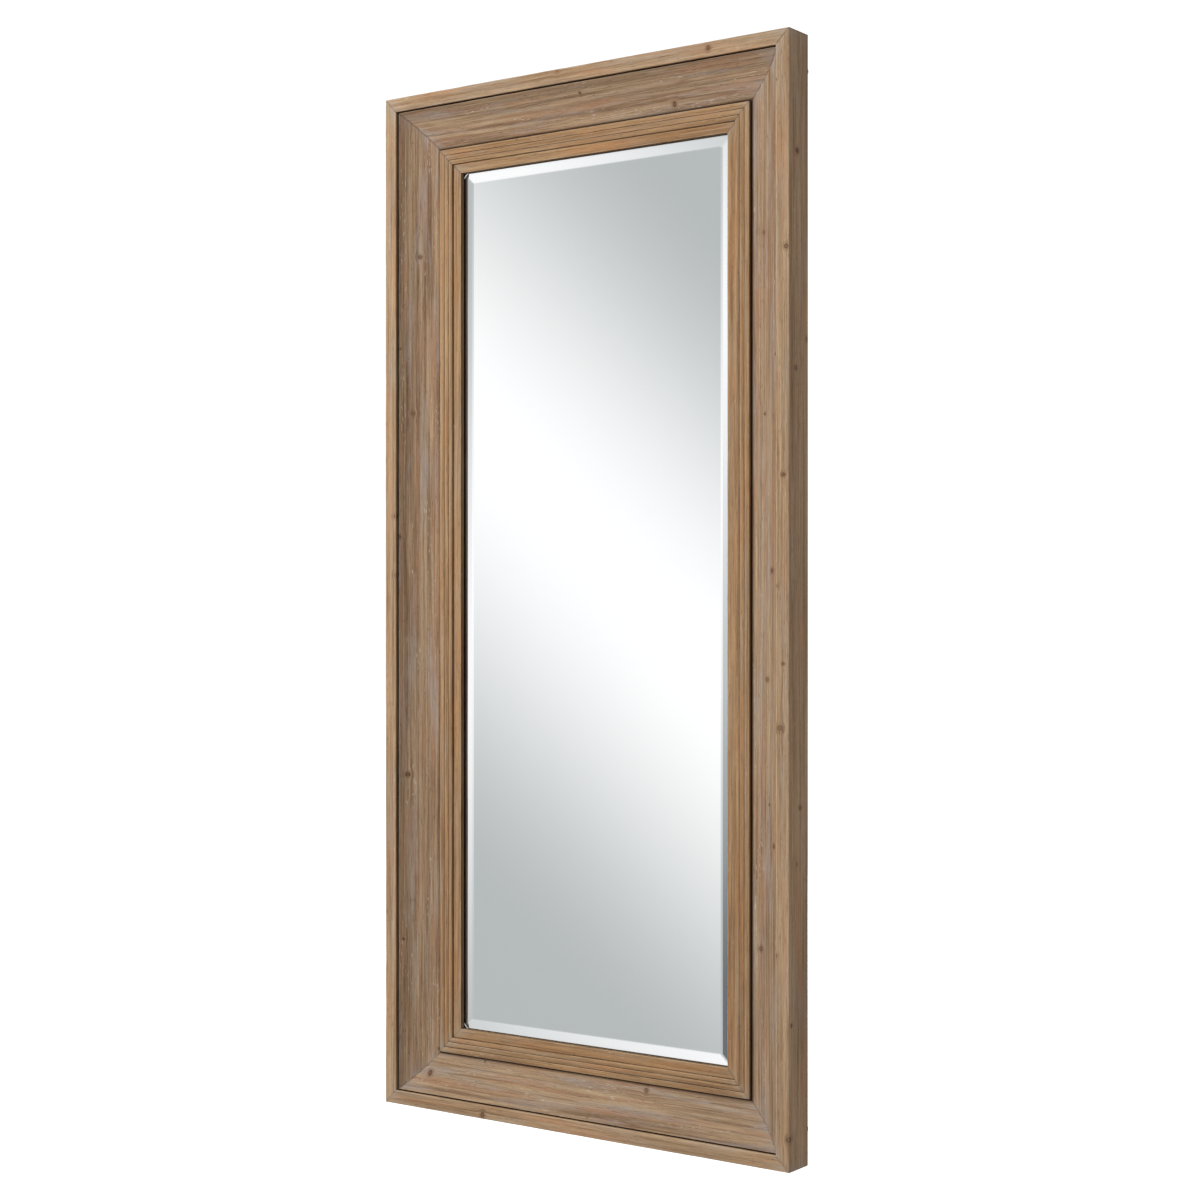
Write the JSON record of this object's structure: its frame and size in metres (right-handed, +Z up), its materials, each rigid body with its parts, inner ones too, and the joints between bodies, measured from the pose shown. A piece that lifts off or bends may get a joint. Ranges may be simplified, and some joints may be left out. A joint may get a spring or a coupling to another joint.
{
  "type": "framed floor mirror",
  "caption": "Tall bevelled mirror in a deep weathered-wood frame with a wide cove and reeded inner moulding, stands on the floor or hangs from swinging D-rings.",
  "frame": {"origin": "on the floor under the middle of the object, halfway between its front face and the faces of its wall pads", "axes": "+Z up along the stiles, +X to the right as the mirror is looked into, the glass faces -Y and the wall is at +Y"},
  "size_m": [0.878, 0.0674, 1.88],
  "materials": {
    "board_wood": "weathered light walnut stain with a grey glaze, matt",
    "cove_wood": "weathered light walnut stain with more grey glaze, matt",
    "reed_wood": "weathered light walnut stain, glaze in the grooves, matt",
    "mirror_glass": "silvered, polished bevel",
    "hardboard": "smooth-faced hardboard",
    "plywood": "sanded birch plywood",
    "beech": "pressed beech",
    "rubber": "matt",
    "zinc_plated_steel": "bright zinc plate",
    "felt": "pressed wool felt"
  },
  "bodies": {
    "frame": {"back_board": "hardboard", "back_screw_bottom": "zinc_plated_steel", "back_screw_left_1": "zinc_plated_steel", "back_screw_left_2": "zinc_plated_steel", "back_screw_left_3": "zinc_plated_steel", "back_screw_left_4": "zinc_plated_steel", "back_screw_right_1": "zinc_plated_steel", "back_screw_right_2": "zinc_plated_steel", "back_screw_right_3": "zinc_plated_steel", "back_screw_right_4": "zinc_plated_steel", "back_screw_top": "zinc_plated_steel", "cove_rail_bottom": "cove_wood", "cove_rail_top": "cove_wood", "cove_stile_left": "cove_wood", "cove_stile_right": "cove_wood", "gusset_bottom_left": "plywood", "gusset_bottom_right": "plywood", "gusset_top_left": "plywood", "gusset_top_right": "plywood", "hanger_left_screw_1": "zinc_plated_steel", "hanger_left_screw_2": "zinc_plated_steel", "hanger_left_strap": "zinc_plated_steel", "hanger_right_screw_1": "zinc_plated_steel", "hanger_right_screw_2": "zinc_plated_steel", "hanger_right_strap": "zinc_plated_steel", "mirror_glass": "mirror_glass", "mitre_biscuit_bottom_left": "beech", "mitre_biscuit_bottom_right": "beech", "mitre_biscuit_top_left": "beech", "mitre_biscuit_top_right": "beech", "outer_rail_bottom": "board_wood", "outer_rail_top": "board_wood", "outer_stile_left": "board_wood", "outer_stile_right": "board_wood", "reeded_rail_bottom": "reed_wood", "reeded_rail_top": "reed_wood", "reeded_stile_left": "reed_wood", "reeded_stile_right": "reed_wood", "setting_block_left": "rubber", "setting_block_right": "rubber", "side_hanger_bottom_screw_1": "zinc_plated_steel", "side_hanger_bottom_screw_2": "zinc_plated_steel", "side_hanger_bottom_strap": "zinc_plated_steel", "side_hanger_top_screw_1": "zinc_plated_steel", "side_hanger_top_screw_2": "zinc_plated_steel", "side_hanger_top_strap": "zinc_plated_steel", "wall_pad_bottom_left": "felt", "wall_pad_bottom_right": "felt", "wall_pad_top_left": "felt", "wall_pad_top_right": "felt"},
    "ring_left": {"hanger_left_ring": "zinc_plated_steel"},
    "ring_right": {"hanger_right_ring": "zinc_plated_steel"},
    "ring_side_bottom": {"side_hanger_bottom_ring": "zinc_plated_steel"},
    "ring_side_top": {"side_hanger_top_ring": "zinc_plated_steel"}
  },
  "joints": [
    {"name": "ring_left_swing", "type": "hinge", "parent": "frame", "child": "ring_left", "pos_m": [-0.376, 0.02876, 1.62], "axis": [1, 0, 0], "range_deg": [0, 180]},
    {"name": "ring_right_swing", "type": "hinge", "parent": "frame", "child": "ring_right", "pos_m": [0.376, 0.02876, 1.62], "axis": [1, 0, 0], "range_deg": [0, 180]},
    {"name": "ring_side_bottom_swing", "type": "hinge", "parent": "frame", "child": "ring_side_bottom", "pos_m": [0.209, 0.02876, 0.063], "axis": [0, 0, -1], "range_deg": [0, 180]},
    {"name": "ring_side_top_swing", "type": "hinge", "parent": "frame", "child": "ring_side_top", "pos_m": [0.209, 0.02876, 1.817], "axis": [0, 0, -1], "range_deg": [0, 180]}
  ]
}
